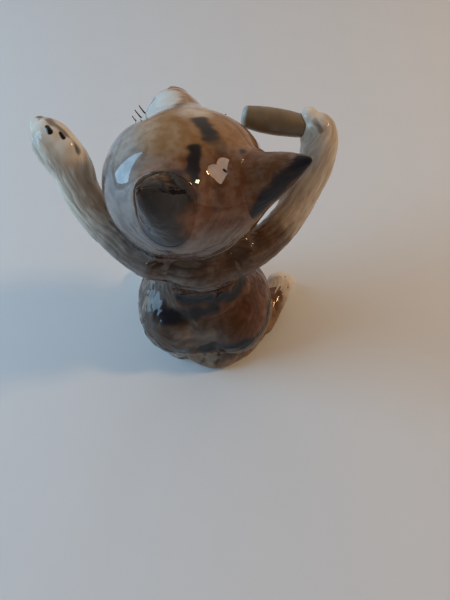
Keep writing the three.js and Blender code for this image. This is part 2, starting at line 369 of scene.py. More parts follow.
class Skin:
    """A closed skin on a grid of rows from pole to pole by columns round: places, outward directions,
    and hair coordinates, in which one axis is squeezed along the lie of the hair."""

    def __init__(self, places, outward, hair):
        self.shape = places.shape[:2]
        self.places = places.reshape(-1, 3)
        self.outward = unit(outward.reshape(-1, 3))
        self.hair = hair.reshape(-1, 3)
        self.first = self.places  # where paint is placed: the skin as it was made, or as join melted it
        self.marks = {}

    def push(self, heights):
        """Moves each place along its outward direction."""
        self.places = self.places + self.outward * np.asarray(heights)[:, None]

    def melt(self, fields, melt):
        """How far the skin rises to the soft union with the fields: the height where that union is zero,
        found by halving, with the height itself as the distance from the skin's own shape. What is still
        inside at the end of its reach stays down, hidden in the other piece."""
        near = np.min([field(self.places) for field in fields], axis=0) < melt + 1.5 * MM
        places, outward = self.places[near], self.outward[near]

        def union(height):
            level = height
            for field in fields:
                level = soften(level, field(places + outward * height[:, None]), melt)
            return level

        low, high = np.zeros(len(places)), np.full(len(places), MELT_REACH)
        buried = union(high) < 0
        for _ in range(11):
            middle = (low + high) / 2
            below = union(middle) < 0
            low, high = np.where(below, middle, low), np.where(below, high, middle)
        heights = np.zeros(len(self.places))
        heights[near] = np.where(buried, 0, low)
        return heights

    def join(self, neighbours, melt, sink=1.2 * MM):
        """Melts the skin into its neighbours, but lets what lies inside them sink out of sight."""
        covered = np.min([field(self.places) for field in neighbours], axis=0)
        self.push(self.melt(neighbours, melt) * step(-sink, 0, covered))
        self.first = self.places
        self.marks["joint"] = step(0, 3 * MM, covered)

    def clear_of_floor(self):
        """Lifts what is below the floor on to it."""
        self.places[:, 2] = np.maximum(self.places[:, 2], CAD_BOX[0][2])

    def build(self, name):
        """Makes the mesh: one point at each pole, quads between the rows and a fan at each end."""
        rows, around = self.shape
        keep = np.r_[0, np.arange(around, (rows - 1) * around), (rows - 1) * around]
        places = self.places[keep]
        ring = 1 + np.arange(rows - 2)[:, None] * around + np.arange(around)
        after = np.roll(ring, -1, axis=1)
        quads = np.stack([ring[:-1], after[:-1], after[1:], ring[1:]], -1).reshape(-1)
        top = len(places) - 1
        first = np.stack([np.zeros(around, int), after[0], ring[0]], -1).reshape(-1)
        last = np.stack([np.full(around, top), ring[-1], after[-1]], -1).reshape(-1)
        corners = np.concatenate([quads, first, last])
        sizes = np.r_[np.full(len(quads) // 4, 4), np.full(2 * around, 3)]
        mesh = bpy.data.meshes.new(name)
        mesh.vertices.add(len(places))
        mesh.vertices.foreach_set("co", places.astype(np.float32).reshape(-1))
        mesh.loops.add(len(corners))
        mesh.loops.foreach_set("vertex_index", corners.astype(np.int32))
        mesh.polygons.add(len(sizes))
        mesh.polygons.foreach_set("loop_start", np.r_[0, np.cumsum(sizes)[:-1]].astype(np.int32))
        mesh.polygons.foreach_set("use_smooth", np.ones(len(sizes), bool))
        mesh.update(calc_edges=True)
        if mesh.validate():
            raise RuntimeError(f"{name}: the grid made a faulty mesh")
        for mark, plain in PLAIN_MARKS.items():
            values = self.marks.get(mark, np.full(len(self.places), float(plain)))
            attribute = mesh.attributes.new(mark, "FLOAT", "POINT")
            attribute.data.foreach_set("value", values[keep].astype(np.float32))
        piece = bpy.data.objects.new(name, mesh)
        bpy.context.scene.collection.objects.link(piece)
        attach(piece, "root")
        return piece


def rows_and_columns(rows, around):
    """Grids of the fraction from pole to pole and of the angle round."""
    angles = np.linspace(0, 2 * np.pi, around, endpoint=False)
    return np.meshgrid(np.linspace(0, 1, rows), angles, indexing="ij")


def crowded(rise, crowding):
    """Rows that crowd towards both poles: t = rise - crowding sin(2 pi rise) / (2 pi)."""
    return rise - crowding * np.sin(2 * np.pi * rise) / (2 * np.pi)


def around_axis(side, over, angle):
    """Directions round an axis: side cos(angle) + over sin(angle)."""
    return side * np.cos(angle)[..., None] + over * np.sin(angle)[..., None]


class Limb:
    """A rounded bar along a curve, with a radius that varies and closes at both ends on an arc."""

    def __init__(self, node):
        data = LIMBS[node]
        self.node, self.cap = node, data["cap"] * MM
        self.radii = np.array(data["radii"]) * MM
        self.centres, self.length = curve(inside(node, data["route"]), 200)

    def at(self, t):
        """Centre and tangent at t from 0 to 1."""
        place = np.clip(t, 0, 1) * (len(self.centres) - 1)
        steps = np.arange(len(self.centres))
        slopes = unit(np.gradient(self.centres, axis=0))
        centre = np.stack([np.interp(place, steps, self.centres[:, i]) for i in range(3)], -1)
        return centre, unit(np.stack([np.interp(place, steps, slopes[:, i]) for i in range(3)], -1))

    def field(self, points):
        """Distance outside the bar, to the nearest of the tapered rods that follow its centre line."""
        inset = self.cap / self.length
        t = np.linspace(inset, 1 - inset, 30)
        centres, _ = self.at(t)
        radii = along(self.radii, t)
        nearest = np.full(len(points), 1.0)
        for start, end, thin, thick in zip(centres, centres[1:], radii, radii[1:]):
            run = end - start
            w = np.clip((points - start) @ run / (run @ run), 0, 1)
            far = np.linalg.norm(points - start - w[:, None] * run, axis=1)
            nearest = np.minimum(nearest, far - thin - w * (thick - thin))
        return nearest

    def skin(self, rows, around):
        """Sweeps a circle along the curve: rows bunch at the ends, where the radius closes."""
        rise, angle = rows_and_columns(rows, around)
        s = crowded(rise, LIMB_CROWDING)
        centre, tangent = self.at(s)
        end = np.minimum(1, (0.5 - np.abs(s - 0.5)) * self.length / self.cap)
        radius = along(self.radii, s) * np.sqrt(np.maximum(0, 1 - (1 - end) ** 2))
        side = unit(np.cross(np.array([0.0, 0.0, 1.0]), tangent))
        over = np.cross(tangent, side)
        radial = around_axis(side, over, angle)
        lean = ((1 - end) * np.sign(s - 0.5))[..., None]
        outward = radial * np.sqrt(np.maximum(0, 1 - lean**2)) + tangent * lean
        thick = self.radii.max()
        hair = np.stack([thick * np.cos(angle), thick * np.sin(angle), 0.16 * s * self.length], -1)
        made = Skin(centre + radial * radius[..., None], outward, hair)
        made.marks["reach"] = s.reshape(-1)
        return made


class Ear:
    """A broad rounded triangle from front to back, thinner across, hollowed on its outer face."""

    def __init__(self, node):
        self.node = node
        self.side = 1 if node == "left_ear" else -1
        self.axis = np.array([self.side * math.sin(EAR_SPREAD), 0, math.cos(EAR_SPREAD)])
        inward = np.array([-self.side * math.cos(EAR_SPREAD), 0, math.sin(EAR_SPREAD)])
        forward = np.array([0.0, -1.0, 0.0])
        self.broad = math.cos(EAR_TWIST) * forward + math.sin(EAR_TWIST) * inward
        self.thin = np.cross(self.axis, self.broad)
        self.foot = -forward * EAR_SETBACK[node]

    def section(self, rise, front):
        """Half breadth and half thickness at a fraction of the way from foot to tip."""
        breadth = np.where(front, along(EAR_FRONT, rise), along(EAR_BACK, rise)) * MM
        return breadth, along(EAR_HALF_THICKNESS, rise) * MM

    def field(self, points):
        """Nearly the distance outside the ear, from its oval section at the point's own height."""
        local = to_head(points) - self.foot
        rise = (local @ self.axis - EAR_ROOT) / (EAR_REACH - EAR_ROOT)
        across, deep = local @ self.broad, local @ self.thin
        breadth, thickness = self.section(np.clip(rise, 0, 1), across > 0)
        size = np.hypot(across / breadth, deep / thickness)
        slope = np.hypot(across / breadth**2, deep / thickness**2)
        beyond = np.maximum(rise - 1, 0) * (EAR_REACH - EAR_ROOT)
        beside = size * (size - 1) / np.maximum(slope, 1e-3)
        return np.where(beyond > 0, np.hypot(np.maximum(beside, 0), beyond), beside)

    def skin(self, rows, around):
        """Sweeps the section from foot to tip; the outer half of it is pressed in to a hollow."""
        rise, angle = rows_and_columns(rows, around)
        end = np.sqrt(np.maximum(0, 1 - np.abs(2 * rise - 1) ** 8))
        breadth, thickness = self.section(rise, np.cos(angle) > 0)
        outer = self.side * np.sin(angle) * 0.85 + np.cos(angle) * 0.5
        hollow = step(0.3, 0.95, outer) * step(0.25, 0.5, rise) * (1 - step(0.86, 1, rise))
        deep = np.sin(angle) - self.side * EAR_HOLLOW * hollow
        local = (
            self.foot
            + self.axis * (EAR_ROOT + rise * (EAR_REACH - EAR_ROOT))[..., None]
            + self.broad * (breadth * end * np.cos(angle))[..., None]
            + self.thin * (thickness * end * deep)[..., None]
        )
        outward = around_axis(self.broad, self.thin, angle)
        hair = np.stack([5 * MM * np.cos(angle), 5 * MM * np.sin(angle), 0.2 * rise * EAR_REACH], -1)
        made = Skin(from_head(local), outward @ HEAD_TURN.T, hair)
        made.marks["hollow"] = hollow.reshape(-1)
        return made


def torso_skin(rows, around):
    """Turns the stations' outline round the upright axis, then carries it over the flat underside and up
    a blind drain hole."""
    under_rows = 26
    rise, angle = rows_and_columns(rows - under_rows, around)
    t = rise[:, :1] * LAST_STATION
    heights, sides, backs, fronts = (
        along([row[i] for row in TORSO_STATIONS], t) * np.ones_like(angle) for i in range(4)
    )
    radius = torso_radius(angle, np.maximum(sides, 0), np.maximum(backs, 0), np.maximum(fronts, 0))
    heights = TORSO_HEIGHT * np.maximum(heights, 0)
    skin = np.stack([radius * np.cos(angle), radius * np.sin(angle), heights], -1)
    skin[0, :, :2] = 0
    rim = skin[-1]
    turn = angle[0]
    hole = np.stack([DRAIN_RADIUS * np.cos(turn), DRAIN_Y + DRAIN_RADIUS * np.sin(turn), 0 * turn], -1)
    flat = np.linspace(0, 1, 14)[1:, None, None]
    floor = rim * (1 - flat) + hole * flat
    up = np.linspace(0, 1, under_rows - len(floor) + 1)[1:, None, None]
    closing = np.sqrt(np.maximum(0, 1 - up**8))
    middle, top = np.array([0, DRAIN_Y, 0]), np.array([0, 0, DRAIN_DEPTH])
    wall = middle + (hole - middle) * closing + top * up
    places = np.concatenate([skin, floor, wall])[::-1]
    angles = np.broadcast_to(angle[0], places.shape[:2])
    outward = np.stack([np.cos(angles), np.sin(angles), 0 * angles], -1)
    twist = np.radians(26) * places[..., 2] / (10 * MM) * np.tanh(places[..., 0] / (11 * MM))
    far = np.hypot(places[..., 0], places[..., 1])
    hair = np.stack([far * np.cos(angles + twist), far * np.sin(angles + twist), 0.16 * places[..., 2]], -1)
    places[..., 2] += TORSO_LOW[2]
    made = Skin(places, outward, hair)
    under = np.zeros(places.shape[:2])
    under[:under_rows] = 1
    made.marks["bare"] = under.reshape(-1)
    return made


def head_skin(rows, around):
    """The head's radius on a grid of directions with its poles at the cheeks."""
    rise, angle = rows_and_columns(rows, around)
    tilt = np.pi * (1 - rise)
    directions = np.stack([np.cos(tilt), np.sin(tilt) * np.cos(angle), np.sin(tilt) * np.sin(angle)], -1)
    flat = directions.reshape(-1, 3)
    local = (flat * head_radius(flat)[:, None]).reshape(directions.shape)
    hair = local * np.array([0.16, 1, 1])
    return Skin(from_head(local), directions @ HEAD_TURN.T, hair)


# --- relief and paint ---

HEAD_UNIT = HEAD_SIZE / 40.16  # a millimetre on a head of this size


def on_head(places):
    """Places in the head's own frame, in millimetres from its centre: left, back, up."""
    return from_head(np.array(places, float).reshape(-1, 3) * HEAD_UNIT)


def face_spot(left, up):
    """A place on the head's skin, in the head's own frame, in millimetres."""
    direction = facing(left, up)
    return direction * head_radius(direction[None])[0] / HEAD_UNIT


def grooves(hair, spacing):
    """Combed strands: the zero lines of noise on the squeezed hair coordinates are narrow grooves, 1 at
    the bottom and 0 on the round backs of the strands between them."""
    return 1 - step(0, 0.5, np.abs(noise(hair / spacing + 40)))


def comb(skin, sizes, lie=None):
    """How deep each point lies in the combed hair: broad locks, and two layers of strands on them."""
    hair = skin.hair if lie is None else lie
    sway = np.stack([noise(skin.places / (7 * MM) + 20 * i) for i in range(3)], 1)
    hair = hair + 1.6 * MM * sway
    thick = 0.65 + 0.35 * noise(skin.places / (5 * MM) + 70)
    spacing = sizes.strand_spacing
    locks = 0.5 * grooves(hair + 0.2, 2.3 * spacing)
    return locks + 0.5 * grooves(hair, spacing) * thick + 0.2 * grooves(hair + 0.1, 0.5 * spacing)


def press_strands(skin, sizes, deep, share, shade):
    """Presses the strands in by a share of their full depth, and marks them for the wash that pools there."""
    skin.push(-share * sizes.strand_depth * deep)
    skin.marks["groove"] = shade * deep


def dab(skin, strokes, seed):
    """An airbrushed mask: each stroke is full within its radius and fades over its soft edge, which noise
    along the hair makes feathery; strokes add up like thin layers."""
    places = skin.first
    bare = np.ones(len(places))
    wander = noise(places / (2.6 * MM) + seed) + 0.9 * noise(skin.hair / (1.1 * MM) + seed)
    for radius, soft, strength, line in strokes:
        ends = list(zip(line, line[1:])) or [(line[0], line[0])]
        far = np.min([from_stroke(places, a, b)[0] for a, b in ends], axis=0)
        far += 0.4 * min(soft, 2) * MM * wander
        bare *= 1 - strength * (1 - step(radius * MM, (radius + soft) * MM, far))
    return 1 - bare


def drawn(places, lines):
    """Signed distance in millimetres to the nearest brush line: negative within its half width, which may
    taper from one end to the other."""
    nearest = np.full(len(places), 9.0)
    for start_width, end_width, line in lines:
        count = max(len(line) - 1, 1)
        for i in range(count):
            far, t = from_stroke(places, line[i], line[min(i + 1, len(line) - 1)])
            half_width = start_width + (end_width - start_width) * (i + t) / count
            nearest = np.minimum(nearest, far / MM - half_width)
    return nearest


# The marks that the glazes read, and what each holds on a piece that has none of it: masks are 0, and
# distances to a line are far, in mm.
PLAIN_MARKS = {
    "soot": 0, "rust": 0, "gold": 0, "cream": 0, "ash": 0, "white": 0, "groove": 0, "bare": 0, "reach": 0,
    "ink": 9, "chip": 9, "nose": 9,
}  # fmt: skip

# Airbrushed colour: radius and soft edge in mm, strength, and a line of places as fractions of the box.
TORSO_PAINT = {
    "soot": (
        (0.8, 3.4, 0.95, ((0.78, 0.8, 0.46), (0.66, 0.84, 0.5), (0.54, 0.86, 0.53))),
        (0.5, 2.4, 0.8, ((0.54, 0.86, 0.53), (0.4, 0.84, 0.54))),
        (0.9, 2.6, 0.93, ((0.66, 0.84, 0.62), (0.45, 0.84, 0.64), (0.3, 0.76, 0.6), (0.2, 0.62, 0.63))),
        (0.6, 2, 0.6, ((0.85, 0.72, 0.6), (0.78, 0.78, 0.52))),
        (1.0, 2.2, 0.95, ((0.5, 0.97, 0.23), (0.38, 0.96, 0.28), (0.24, 0.89, 0.32))),
        (0.6, 2, 0.85, ((0.24, 0.89, 0.32), (0.13, 0.79, 0.34), (0.05, 0.6, 0.38))),
        (0.7, 1.6, 0.75, ((0.9, 0.74, 0.29), (0.77, 0.9, 0.26), (0.61, 0.97, 0.22))),
        (0.5, 1.3, 0.8, ((0.72, 0.76, 0.7), (0.47, 0.81, 0.72), (0.3, 0.74, 0.73))),
        (0.7, 1.6, 0.7, ((0.98, 0.35, 0.36), (0.93, 0.2, 0.33), (0.86, 0.12, 0.26))),
        (0.7, 1.6, 0.7, ((0.02, 0.35, 0.36), (0.07, 0.2, 0.33), (0.14, 0.12, 0.26))),
    ),
    "rust": (
        (7, 8, 0.85, ((0.16, 0.75, 0.5), (0.03, 0.5, 0.2))),
        (4, 6, 0.6, ((0.3, 0.85, 0.62), (0.6, 0.85, 0.62))),
    ),
    "gold": (
        (1.5, 4, 0.75, ((0.03, 0.5, 0.1), (0.12, 0.8, 0.06), (0.35, 0.97, 0.04))),
        (5, 6, 0.5, ((0.3, 0.1, 0.7), (0.7, 0.1, 0.7))),
    ),
    "ash": (
        (7, 8, 0.8, ((0.92, 0.65, 0.62), (0.97, 0.6, 0.3), (0.85, 0.85, 0.15))),
        (2.2, 4, 0.8, ((0.62, 0.95, 0.36), (0.5, 0.97, 0.33))),
        (2.5, 4, 0.55, ((0.9, 0.65, 0.86), (0.5, 0.85, 0.84), (0.25, 0.75, 0.84))),
        (1.5, 4, 0.8, ((0.8, 0.88, 0.12), (0.5, 0.99, 0.1), (0.3, 0.93, 0.12))),
    ),
    "cream": (
        (1, 3, 0.75, ((0.97, 0.5, 0.08), (0.85, 0.83, 0.08), (0.55, 0.99, 0.06))),
        (0.3, 1.6, 0.6, ((0.93, 0.7, 0.5), (0.9, 0.76, 0.3), (0.84, 0.84, 0.2))),
        # Painted highlight: a faint pale streak over the strands low on the back.
        (0.2, 1.8, 0.3, ((0.66, 0.93, 0.38), (0.5, 0.97, 0.36), (0.42, 0.96, 0.4))),
        (7.5, 4.5, 0.9, ((0.5, 0.05, 0.74), (0.5, 0, 0.45), (0.5, 0, 0.12))),
    ),
}  # fmt: skip

# The same on the head, with places in its own frame.
HEAD_PAINT = {
    "gold": (
        (5, 6, 0.9, ((6, -11.5, 13.6), (-8, -11, 13.2))),
        (3, 4, 0.85, ((-3, -21, 3), (-5, -17, 6))),
        (1.5, 4, 0.12, ((2.2, -6, 17.5), (2.6, 3, 18.3))),
    ),
    "white": (
        (4.6, 4, 0.97, ((6, -20, 1.5), (9.5, -16, -3))),
        (6, 4.5, 0.97, ((-6, -19, -6), (-9.5, -15, -8))),
        (6, 5, 0.95, ((0, -17, -10), (0, -12, -14))),
        (4, 5, 0.5, ((17, -8, -4), (-17, -8, -6))),
    ),
    "ash": (
        (5, 7, 0.85, ((17, -7, 7), (18.2, 3, 5), (16, 9, 2))),
        (4, 6, 0.7, ((-2.9, 13.5, 12), (3, 15, 8), (-4, 17, 2))),
    ),
    "cream": (
        (2, 5, 0.35, ((15, -9, 8), (12, -12, 9))),
        (2, 4, 0.6, ((-4, -17.5, 8), (-1, -15, 11))),
        (2, 5, 0.2, ((8, -8, 15), (12, -2, 15), (13, 3, 14))),
    ),
    "soot": (
        (2.4, 5.5, 0.97, ((9.5, 3.2, 19), (13, 6.5, 20.5), (12.5, 9.5, 16), (11, 11, 13))),
        (2.2, 3, 0.95, ((15.5, 3.5, 25), (13, 4.5, 21))),
        (0.45, 0.9, 0.95, ((6.3, 1.4, 18.4), (6.6, 4, 18), (7, 8.5, 16.6))),
        (0.9, 2.2, 0.8, ((-0.6, -11.5, 14.5), (-1.2, -8.6, 16.6))),
        (0.8, 2.6, 0.55, ((-1.6, -8, 17), (-2.8, -5.2, 18.1))),
        (0.6, 1.6, 0.45, ((-0.6, 3, 18.8), (-0.3, 7, 18.2))),
        (0.7, 1.6, 0.8, ((3.0, -5.6, 17.9), (3.8, -2.3, 18.4), (4.4, 0.8, 18.6))),
        (0.5, 1.4, 0.5, ((4.6, 0.8, 18.6), (5.2, 6, 17.8))),
        (0.6, 1.0, 0.8, ((-7.3, -3.6, 18.0), (-7.2, 1.9, 18.3), (-7.6, 6.6, 17))),
        (0.6, 1.1, 0.7, ((19.4, -3, 2), (19.2, 3, -2))),
        (0.6, 1.1, 0.7, ((18.4, -5, -3), (18.6, 1, -7))),
        (0.6, 1.1, 0.7, ((-19.4, -3, 2), (-19.2, 3, -2))),
        (0.6, 1.1, 0.7, ((-18.4, -5, -3), (-18.6, 1, -7))),
    ),
    "rust": (
        (7, 6, 0.97, ((0, -1, 18), (-10, 3, 15))),
        (3.5, 5, 0.7, ((-2, 8, 17), (-6, 6, 17))),
    ),
}  # fmt: skip

# The bare patch where the glaze has chipped off: two lobes that run together to a point.
CHIP = (
    (1.35, 0.35, ((-0.1, -0.6, 18.5), (-1.1, 1.9, 18.4))),
    (1.55, 0.35, ((-2.5, -1.6, 18.2), (-1.2, 1.9, 18.4))),
)
CHIP_NOTCH = ((0.3, 0.15, ((-2.3, -0.5, 18.4), (-2.9, 0.1, 18.3))),)

EAR_RING = (8.5, 5, 17)  # the strands of the nape run in rings round here, in the head's own frame, in mm


def on_eyelid(side, t, drop=0):
    """A place on a closed eye at t from -1 (inner corner) to 1, or where the lash from there ends."""
    left = side * (22 + 10 * t + drop * (3 + 2 * t) / 4) - 1
    return left, -4.5 - drop - 5 * (1 - t * t) + (2.5 - drop / 8) * t


CLOSED_EYES = tuple(tuple(on_eyelid(side, t) for t in np.linspace(-1, 1, 7)) for side in (1, -1))
LASHES = tuple((on_eyelid(side, t), on_eyelid(side, t, 4)) for side in (1, -1) for t in (0.35, 0.7, 1))
MOUTH = (
    ((-4, -14), (-4, -19), (-8, -24), (-13.5, -24.5), (-18, -20)),
    ((-4, -19), (0, -24), (5.5, -24.5), (10, -20)),
)
BRISTLES = {
    "left_whisker": (1, ((20, -7), (22, -13), (24, -19))),
    "right_whisker": (-1, ((-33, -5), (-34, -11), (-35, -17))),
}
WHISKER_DOTS = ((15, -10), (17, -16), (10, -9), (-23, -8), (-25, -14), (-18, -8))

# Colour and ink on the limbs, as fractions of each box, and the part of their length that turns cream.
LIMB_PAINT = {
    "left_arm": dict(
        cream=(0.08, 0.62),
        soot=((0.5, 1.1, 0.7, ((0.66, 0.27, 0.84), (0.8, 0.16, 0.95), (0.93, 0.03, 0.94))),),
        gold=((1.5, 3, 0.6, ((0.62, 0.36, 0.8), (0.95, 0.05, 0.97))),),
        ash=((4, 6, 0.85, ((0.2, 0.85, 0.3), (0.5, 0.7, 0.45), (0.62, 0.6, 0.6))),),
        ink=(
            (0.75, 0.6, ((0.8, 0.23, 0.985), (0.825, 0.19, 0.995))),
            (0.7, 0.55, ((0.71, 0.25, 0.935), (0.735, 0.22, 0.96))),
            (0.5, 0.4, ((0.885, 0.12, 0.98), (0.9, 0.1, 0.98))),
        ),
    ),
    "right_arm": dict(
        cream=(0.2, 0.5),
        soot=((0.4, 1.2, 0.6, ((0.2, 0.23, 0.96), (0.26, 0.16, 1.0))),),
        gold=(
            (1.5, 3, 0.6, ((0.2, 0.2, 0.9), (0.4, 0.05, 1.0))),
            (1, 4, 0.4, ((0.7, 0.75, 0.3), (0.5, 0.6, 0.4))),
        ),
        ink=((0.6, 0.45, ((0.29, 0.08, 1.06), (0.31, 0.05, 1.07))),),
    ),
    "left_foot": dict(
        cream=(0.2, 0.6),
        gold=((3, 4, 0.6, ((0.5, 0.7, 0.8), (0.5, 0.2, 0.8))),),
        ink=(
            (0.3, 0.2, ((0.32, 0.03, 0.62), (0.3, -0.02, 0.3))),
            (0.3, 0.2, ((0.54, 0.0, 0.7), (0.55, -0.04, 0.32))),
            (0.3, 0.2, ((0.76, 0.04, 0.62), (0.78, 0.0, 0.3))),
        ),
    ),
    "right_foot": dict(
        cream=(0.3, 0.8),
        gold=((4, 5, 0.95, ((0.8, 0.8, 0.6), (0.5, 0.5, 0.8), (0.3, 0.25, 0.8))),),
        ink=(
            (0.45, 0.3, ((0.13, 0.27, 0.78), (0.08, 0.25, 0.62))),
            (0.45, 0.3, ((0.21, 0.1, 0.82), (0.16, 0.05, 0.66))),
            (0.3, 0.2, ((0.38, 0.02, 0.75), (0.35, -0.03, 0.5))),
        ),
    ),
}  # fmt: skip

EAR_PAINT = {
    "left_ear": dict(
        soot=((0.8, 1.5, 0.9, ((0.95, 0.95, 0.97), (0.75, 0.75, 0.97), (0.4, 0.6, 0.9))),),
        gold=((1.5, 4, 0.7, ((0.2, 0.2, 0.7), (0.6, 0.2, 0.95))),),
    ),
    "right_ear": dict(
        soot=(
            (1, 2.2, 0.95, ((0.1, 0.67, 0.96), (0.17, 0.76, 0.9), (0.36, 0.83, 0.75), (0.56, 0.91, 0.54),
                            (0.77, 0.97, 0.29))),
        ),
        # Painted highlight: a pale streak along the upper edge near the tip.
        cream=((0.6, 1.5, 0.5, ((0.03, 0.4, 0.98), (0.06, 0.2, 0.95))),),
        rust=((2.5, 5, 0.7, ((0.4, 0.5, 0.6), (0.8, 0.7, 0.3))),),
        ash=((2, 4, 0.5, ((0.25, 0.4, 0.8), (0.5, 0.6, 0.5))),),
    ),
}  # fmt: skip


def paint(skin, node, strokes):
    """Lays a piece's airbrushed colours on its skin: each place is read in its node's box, and taken to
    the nearest point of the skin."""

    def on_skin(place):
        return skin.first[np.argmin(np.linalg.norm(skin.first - place, axis=1))]

    for seed, (mark, lines) in enumerate(sorted(strokes.items())):
        placed = [(*look, [on_skin(place) for place in inside(node, line)]) for *look, line in lines]
        skin.marks[mark] = np.maximum(skin.marks.get(mark, 0), dab(skin, placed, 9.7 * seed))


def paint_head(skin):
    """Lays the head's airbrushed colours on the head or an ear, so that they run on between the two."""
    for seed, (mark, strokes) in enumerate(sorted(HEAD_PAINT.items())):
        placed = [(*look, list(on_head(line))) for *look, line in strokes]
        skin.marks[mark] = dab(skin, placed, 7.3 * seed)


def draw_face(skin):
    """Nose, mouth, closed eyes and whisker dots, as signed distances in millimetres to their edges."""
    local = to_head(skin.places) / HEAD_UNIT
    middle = face_spot(-4, -7)
    outward = unit(middle)
    sideways = unit(np.cross([0, 0, 1.0], outward))
    far = local - middle
    a, u = far @ sideways, far @ np.cross(outward, sideways)
    narrowing = 2.5 * step(-3.2, 0.9, u)
    nose = np.where(np.linalg.norm(far, axis=1) < 6, np.maximum(np.abs(a) - narrowing, np.abs(u) - 1.7), 9)
    skin.push(0.35 * HEAD_UNIT * step(0, -0.9, nose))
    dots = [(spot,) for spot in WHISKER_DOTS]
    inked = ((0.3, 0.22, MOUTH), (0.3, 0.3, CLOSED_EYES), (0.22, 0.08, LASHES), (0.34, 0.34, dots))
    lines = [
        (start, end, [on_head(face_spot(*spot))[0] for spot in line])
        for start, end, group in inked
        for line in group
    ]
    ink = drawn(skin.places, lines)
    skin.push(-0.2 * HEAD_UNIT * step(0.5, -0.2, ink))
    skin.marks.update(nose=nose, ink=ink)


# --- finishes ---


class Socket:
    """A node's output; each operator on it adds one Math node, so sums read as sums."""

    def __init__(self, finish, output):
        self.finish, self.output = finish, output

    def math(self, operation, first, second=0.0):
        return self.finish.node("ShaderNodeMath", {"operation": operation}, {0: first, 1: second})

    def __add__(self, other):
        return self.math("ADD", self, other)

    def __radd__(self, other):
        return self.math("ADD", other, self)

    def __sub__(self, other):
        return self.math("SUBTRACT", self, other)

    def __rsub__(self, other):
        return self.math("SUBTRACT", other, self)

    def __mul__(self, other):
        return self.math("MULTIPLY", self, other)

    def __rmul__(self, other):
        return self.math("MULTIPLY", other, self)

    def rises(self, low, high):
        """0 below low and 1 above high, or the other way round if low is the larger."""
        return self.finish.node(
            "ShaderNodeMapRange",
            {"interpolation_type": "SMOOTHSTEP"},
            {"Value": self, "From Min": low, "From Max": high, "To Min": 0.0, "To Max": 1.0},
        )


class Finish:
    """A material, or the surround, and its nodes."""

    def __init__(self, name, kind="materials"):
        self.material = getattr(bpy.data, kind).new(name)
        self.material.use_nodes = True
        self.tree = self.material.node_tree
        self.tree.nodes.clear()
        coordinates = "Object" if kind == "materials" else "Generated"
        self.object = self.node("ShaderNodeTexCoord", {}, {}, coordinates)

    def node(self, kind, settings, inputs, output=0):
        """Adds a node: its settings first, then its sockets' values or links."""
        made = self.tree.nodes.new(kind)
        for key, value in settings.items():
            setattr(made, key, value)
        for key, value in inputs.items():
            if isinstance(value, Socket):
                self.tree.links.new(value.output, made.inputs[key])
            else:
                made.inputs[key].default_value = value
        return Socket(self, made.outputs[output]) if len(made.outputs) else None

    def mark(self, name):
        return self.node("ShaderNodeAttribute", {"attribute_name": name}, {}, "Fac")

    def speckle(self, scale, detail=3.0, rough=0.55, vector=None):
        inputs = {"Vector": vector or self.object, "Scale": scale, "Detail": detail, "Roughness": rough}
        return self.node("ShaderNodeTexNoise", {}, inputs)

    def blend(self, factor, first, second, kind="MIX"):
        """Mixes two colours."""
        first, second = ((*c, 1) if isinstance(c, tuple) and len(c) == 3 else c for c in (first, second))
        settings = {"data_type": "RGBA", "blend_type": kind}
        return self.node("ShaderNodeMix", settings, {0: factor, 6: first, 7: second}, 2)

    def bump(self, height, strength, distance):
        inputs = {"Height": height, "Strength": strength, "Distance": distance}
        return self.node("ShaderNodeBump", {}, inputs, "Normal")

    def close(self, **inputs):
        """Adds the shader and the output."""
        named = {key.replace("_", " "): value for key, value in inputs.items()}
        shader = self.node("ShaderNodeBsdfPrincipled", {}, named)
        self.node("ShaderNodeOutputMaterial", {}, {"Surface": shader})
        return self.material


def stoneware(name, colours, ground, face=False, gloss=1.38):
    """Glazed earthenware: layers of airbrushed colour over a ground, darker where glaze and wash pool
    between the strands, lighter where it runs thin on them, fine speckle, and a clear coat that stops at
    bare clay."""
    finish = Finish(name)
    mottle = finish.speckle(420.0).rises(0.35, 0.65)
    cloud = finish.speckle(95.0, 2.0).rises(0.35, 0.65)
    colour = finish.blend(cloud * 0.35, ground, tuple(0.62 * c for c in ground))
    # The cream layer holds painted highlights as well as cream glaze.
    for mark in ("ash", "rust", "gold", "cream", "white"):
        amount = (finish.mark(mark) * (0.86 + mottle * 0.14)).rises(0.04, 0.96)
        colour = finish.blend(amount, colour, tuple(getattr(colours, mark)))
    groove = finish.mark("groove")
    colour = finish.blend(groove * 0.72, colour, (0.3, 0.2, 0.13, 1), "MULTIPLY")
    colour = finish.blend((1 - groove) * mottle * 0.1, colour, (0.75, 0.62, 0.5, 1), "SCREEN")
    soot = finish.mark("soot") * (0.8 + cloud * 0.2)
    colour = finish.blend(soot.rises(0.08, 0.9), colour, tuple(colours.soot))
    ink = finish.mark("ink").rises(0.14, -0.1)
    colour = finish.blend(ink, colour, tuple(colours.ink))
    unglazed = finish.mark("bare").rises(0.3, 0.7)
    bare = unglazed
    if face:
        nose = finish.mark("nose").rises(0.25, -0.15)
        colour = finish.blend(nose, colour, tuple(colours.nose))
        chip = finish.mark("chip").rises(0.1, -0.12)
        colour = finish.blend(finish.mark("chip").rises(0.45, 0.05) * 0.3, colour, (0.05, 0.02, 0.01, 1))
        clay = finish.blend(mottle, tuple(colours.clay), tuple(0.8 * c for c in colours.clay))
        colour = finish.blend(chip * (1 - ink), colour, clay)
        bare = bare.math("MAXIMUM", bare, chip)
    under = finish.blend(mottle, tuple(colours.clay), tuple(0.72 * c for c in colours.clay))
    colour = finish.blend(unglazed, colour, under)
    pores = finish.speckle(900.0, 2.0)
    return finish.close(
        Base_Color=colour,
        Roughness=0.34 + mottle * 0.1 + bare * 0.4,
        Specular_IOR_Level=0.0,
        Normal=finish.bump(pores * (0.3 + bare * 0.7), 0.35, 0.00012),
        Coat_Weight=1 - bare,
        Coat_Roughness=0.035,
        Coat_IOR=gloss,
    )


